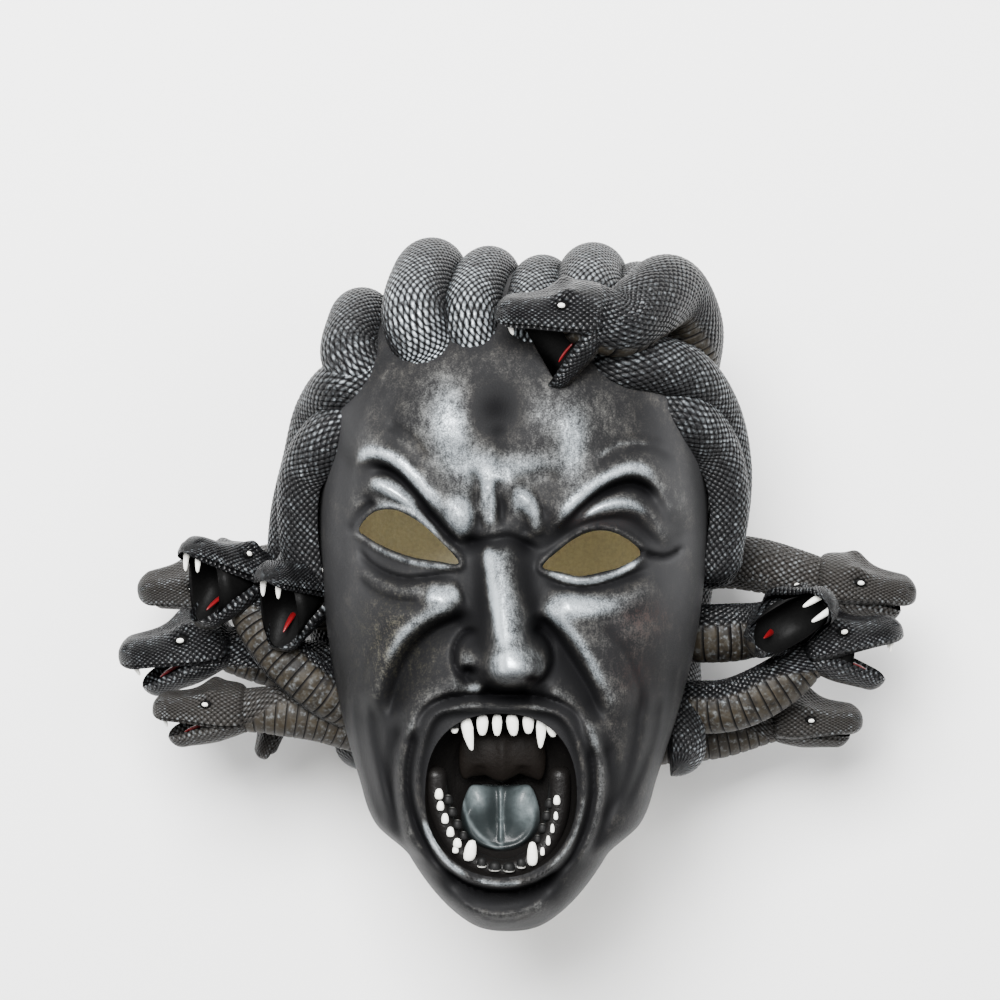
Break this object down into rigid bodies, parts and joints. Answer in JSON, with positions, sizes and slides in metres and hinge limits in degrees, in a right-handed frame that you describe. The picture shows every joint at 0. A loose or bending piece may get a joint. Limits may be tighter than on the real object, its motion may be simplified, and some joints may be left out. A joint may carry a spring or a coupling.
{
  "type": "latex gorgon mask",
  "caption": "Hollow full-head latex mask of a screaming Gorgon with scaled coils over the hood and snakes rearing from its sides.",
  "frame": {"origin": "under the middle of the mask, on the surface that the back of its hood rests on", "axes": "+X to the viewer's right across the snakes, +Y from the chin up to the crown, +Z out of the face"},
  "size_m": [0.4466, 0.3733, 0.2419],
  "materials": {
    "mask_latex": "satin black latex, dry-brushed silver on the raised forms",
    "snake_latex": "glossy black latex, dry-brushed grey on the scales"
  },
  "bodies": {
    "root": {"mask": "mask_latex", "crown_snake": "snake_latex", "left_front_snake": "snake_latex", "left_upper_snake": "snake_latex", "left_middle_snake": "snake_latex", "left_rear_snake": "snake_latex", "left_lower_snake": "snake_latex", "left_hanging_snake": "snake_latex", "right_front_snake": "snake_latex", "right_upper_snake": "snake_latex", "right_middle_snake": "snake_latex", "right_lower_snake": "snake_latex"}
  },
  "joints": []
}
